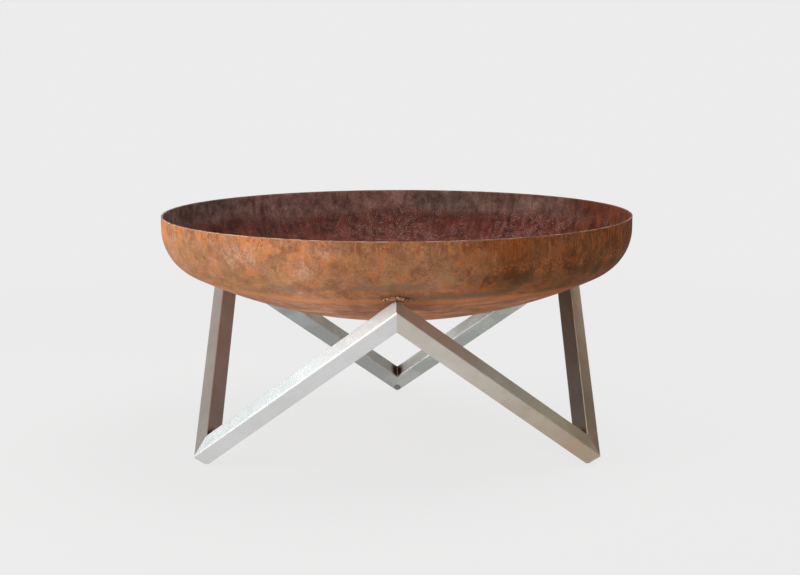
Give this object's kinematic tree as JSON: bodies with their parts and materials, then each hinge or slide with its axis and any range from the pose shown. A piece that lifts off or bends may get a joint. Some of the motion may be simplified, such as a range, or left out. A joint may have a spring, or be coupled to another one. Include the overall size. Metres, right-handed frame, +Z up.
{
  "type": "fire pit",
  "caption": "Round dished fire bowl of rusted weathering steel on a zigzag stand of mitred square stainless tube, with a lift-out log grate inside.",
  "frame": {"origin": "on the floor, under the centre of the bowl", "axes": "+Z up through the bowl's centre, -Y to the front, where one upper corner of the stand points, +X to the right seen from the front"},
  "size_m": [0.8, 0.8, 0.3944],
  "materials": {
    "stainless": "fine longitudinal brushing, mitres ground flush",
    "weathering_steel": "orange-brown rust patina with darker drips and smudges",
    "grate_steel": "black mill scale with rust bloom and grey ash"
  },
  "bodies": {
    "stand": {"stand_tube_front_left": "stainless", "stand_tube_front_right": "stainless", "stand_tube_side_left": "stainless", "stand_tube_side_right": "stainless", "stand_tube_back_left": "stainless", "stand_tube_back_right": "stainless"},
    "bowl": {"bowl_shell": "weathering_steel", "seat_stop_front": "weathering_steel", "seat_stop_back_left": "weathering_steel", "seat_stop_back_right": "weathering_steel"},
    "grate": {"grate_ring": "grate_steel", "grate_bar_1": "grate_steel", "grate_bar_2": "grate_steel", "grate_bar_3": "grate_steel", "grate_bar_4": "grate_steel", "grate_bar_5": "grate_steel", "grate_bar_6": "grate_steel", "grate_bar_7": "grate_steel", "grate_bar_8": "grate_steel", "grate_bar_9": "grate_steel", "grate_cross_bar_front": "grate_steel", "grate_cross_bar_back": "grate_steel", "grate_foot_front_left": "grate_steel", "grate_foot_front_right": "grate_steel", "grate_foot_back_left": "grate_steel", "grate_foot_back_right": "grate_steel", "grate_loop_left": "grate_steel", "grate_loop_right": "grate_steel"}
  },
  "joints": [
    {"name": "bowl_lift", "type": "slide", "parent": "stand", "child": "bowl", "axis": [0, 0, 1], "range_m": [0, 0.3]},
    {"name": "grate_lift", "type": "slide", "parent": "bowl", "child": "grate", "axis": [0, 0, 1], "range_m": [0, 0.3]}
  ]
}
